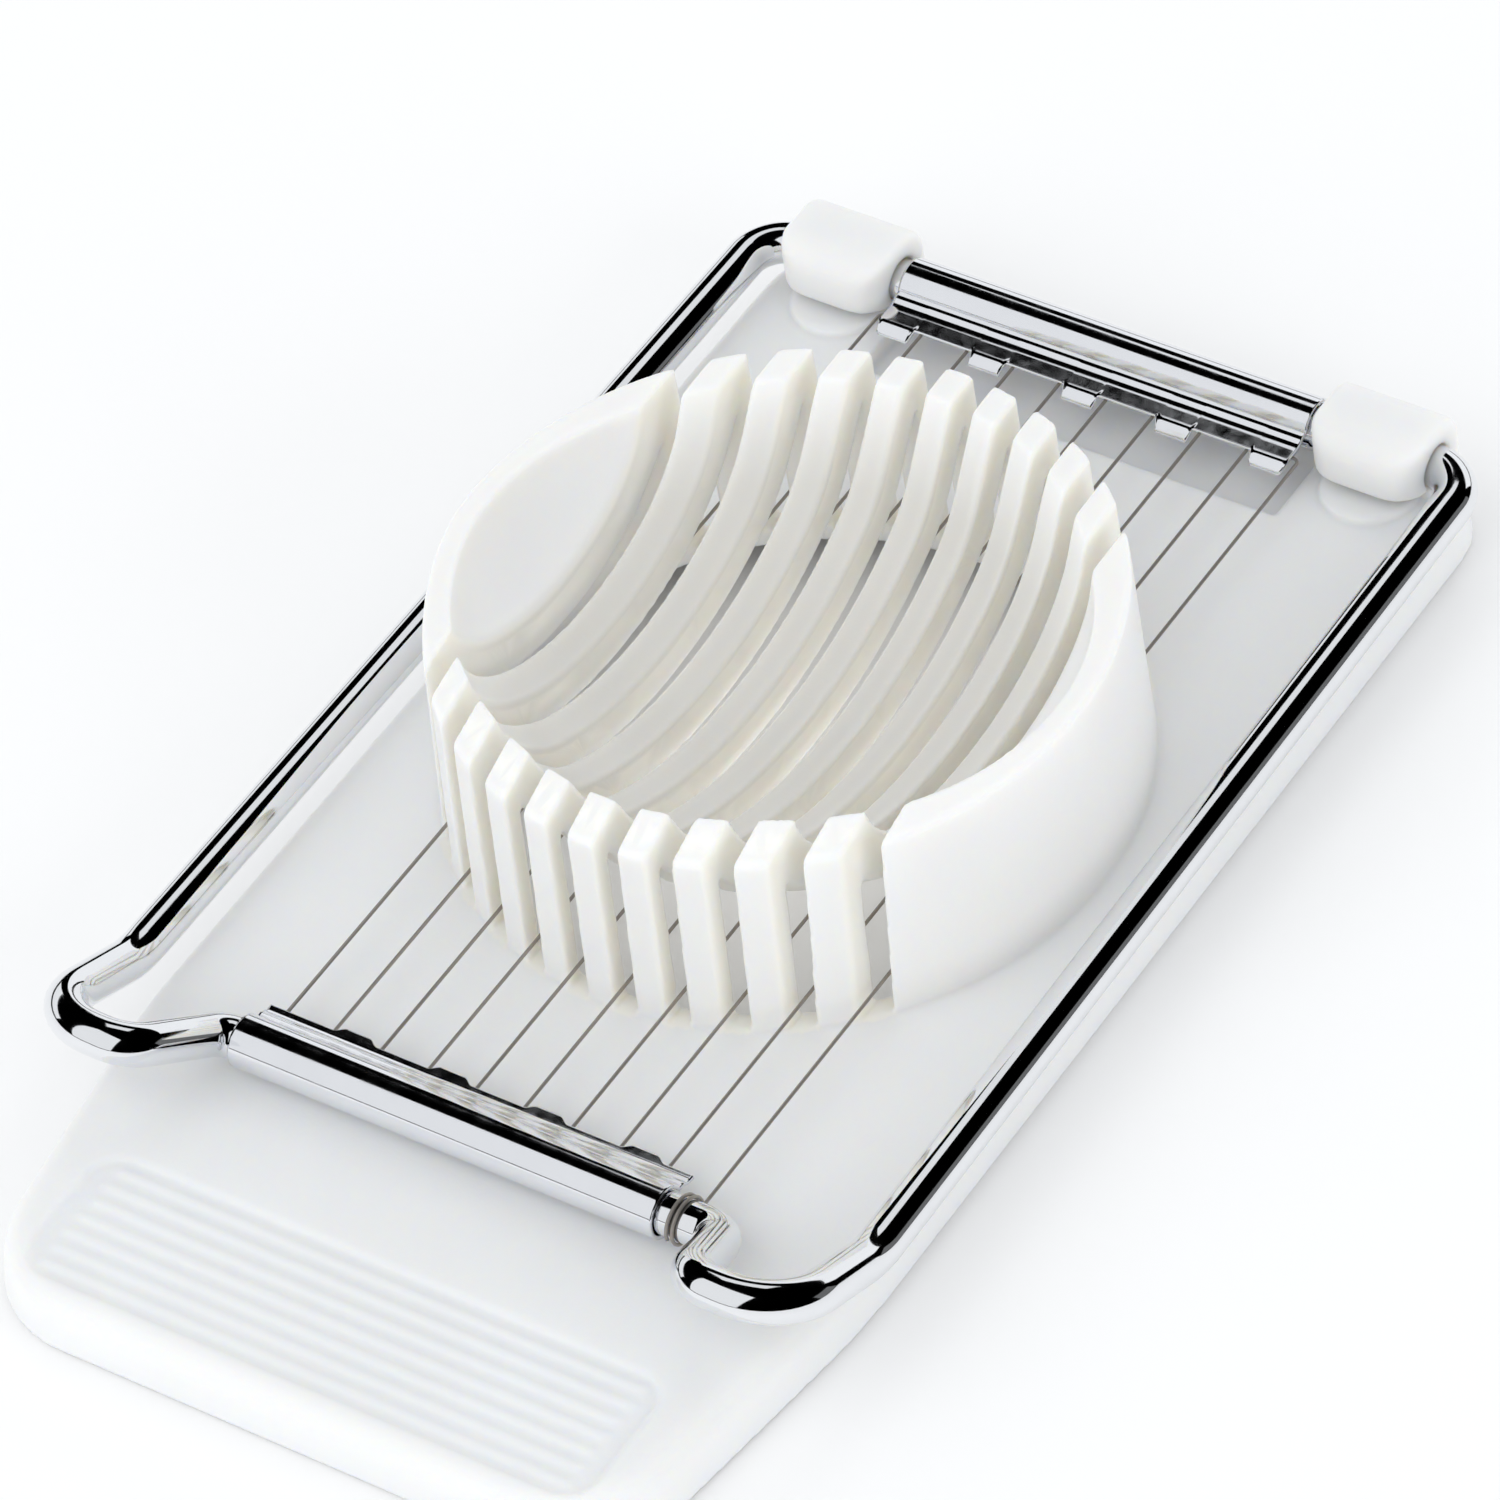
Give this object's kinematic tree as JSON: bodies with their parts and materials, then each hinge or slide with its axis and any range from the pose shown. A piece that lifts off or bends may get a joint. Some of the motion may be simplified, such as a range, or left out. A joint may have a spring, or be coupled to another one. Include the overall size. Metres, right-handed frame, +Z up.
{
  "type": "egg slicer",
  "caption": "Egg slicer: a slotted egg cradle on a flat plastic base, with a hinged chromed frame whose cutting wires swing down through the slots.",
  "frame": {"origin": "middle of the base's length and width, on the table it stands on", "axes": "+X across the slicer, to the right seen from the grip end; +Y from the grip end to the hinge; +Z up"},
  "size_m": [0.081, 0.1424, 0.0265],
  "materials": {
    "white_plastic": "white moulded plastic, satin",
    "chromed_rod": "chromed steel rod",
    "chromed_strip": "chromed rolled sheet",
    "steel_wire": "drawn stainless wire"
  },
  "bodies": {
    "base": {"base_moulding": "white_plastic"},
    "wire_frame": {"bow_rod": "chromed_rod", "front_strip": "chromed_strip", "rear_strip": "chromed_strip", "cutting_wire_01": "steel_wire", "cutting_wire_02": "steel_wire", "cutting_wire_03": "steel_wire", "cutting_wire_04": "steel_wire", "cutting_wire_05": "steel_wire", "cutting_wire_06": "steel_wire", "cutting_wire_07": "steel_wire", "cutting_wire_08": "steel_wire", "cutting_wire_09": "steel_wire", "cutting_wire_10": "steel_wire", "rear_wire_turn_1": "steel_wire", "rear_wire_turn_2": "steel_wire", "rear_wire_turn_3": "steel_wire", "rear_wire_turn_4": "steel_wire", "rear_wire_turn_5": "steel_wire", "front_wire_turn_1": "steel_wire", "front_wire_turn_2": "steel_wire", "front_wire_turn_3": "steel_wire", "front_wire_turn_4": "steel_wire", "wire_end_left": "steel_wire", "wire_end_right": "steel_wire"}
  },
  "joints": [
    {"name": "frame_hinge", "type": "hinge", "parent": "base", "child": "wire_frame", "pos_m": [0, 0.06675, 0.0083], "axis": [-1, 0, 0], "range_deg": [0, 110]}
  ]
}
